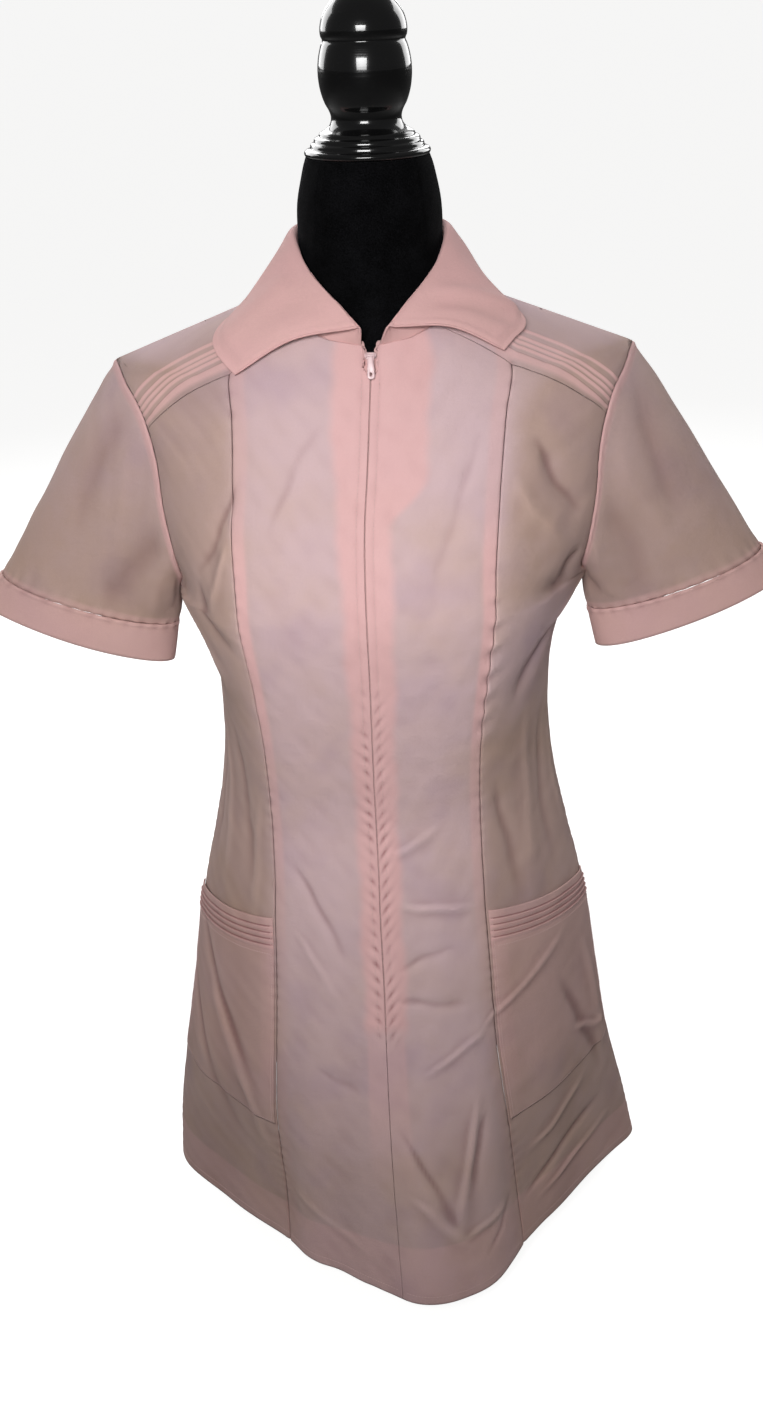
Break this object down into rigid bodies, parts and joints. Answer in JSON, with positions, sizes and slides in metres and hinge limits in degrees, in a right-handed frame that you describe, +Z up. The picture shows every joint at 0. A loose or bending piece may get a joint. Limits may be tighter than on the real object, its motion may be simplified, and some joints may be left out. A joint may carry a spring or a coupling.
{
  "type": "nurse uniform top on a dress form",
  "caption": "Short sleeved zip front tunic with a pointed collar, pin tucked yokes and patch pockets, worn on a limbless dress form with a neck cap and a base.",
  "frame": {"origin": "centre of the underside of the stand's base", "axes": "+Z up along the stand's pole, the garment's front faces -Y, +X is the wearer's left"},
  "size_m": [0.651, 0.3519, 1.0493],
  "materials": {
    "pink_cloth": "semi-sheer woven polyester",
    "black_velvet": "velvet",
    "black_lacquer": "high gloss lacquer",
    "black_metal": "satin black",
    "pink_zip": "woven zip tape and coil",
    "pink_enamel": "enamelled"
  },
  "bodies": {
    "root": {"front_left": "pink_cloth", "front_right": "pink_cloth", "side_front_left": "pink_cloth", "side_front_right": "pink_cloth", "yoke_left": "pink_cloth", "yoke_right": "pink_cloth", "back": "pink_cloth", "side_back_left": "pink_cloth", "side_back_right": "pink_cloth", "sleeve_left": "pink_cloth", "sleeve_right": "pink_cloth", "cuff_left": "pink_cloth", "cuff_right": "pink_cloth", "collar": "pink_cloth", "pocket_left": "pink_cloth", "pocket_right": "pink_cloth", "zip_tape": "pink_zip", "zip_coil": "pink_zip", "zip_slider": "pink_enamel", "form_torso": "black_velvet", "form_neck_cap": "black_lacquer", "stand_pole": "black_metal", "stand_base": "black_lacquer"},
    "pull": {"zip_pull": "pink_enamel"}
  },
  "joints": [
    {"name": "zip_pull_hinge", "type": "hinge", "parent": "root", "child": "pull", "pos_m": [-0.00317, -0.0824, 0.81555], "axis": [-1, 0, 0], "range_deg": [0, 150]}
  ]
}
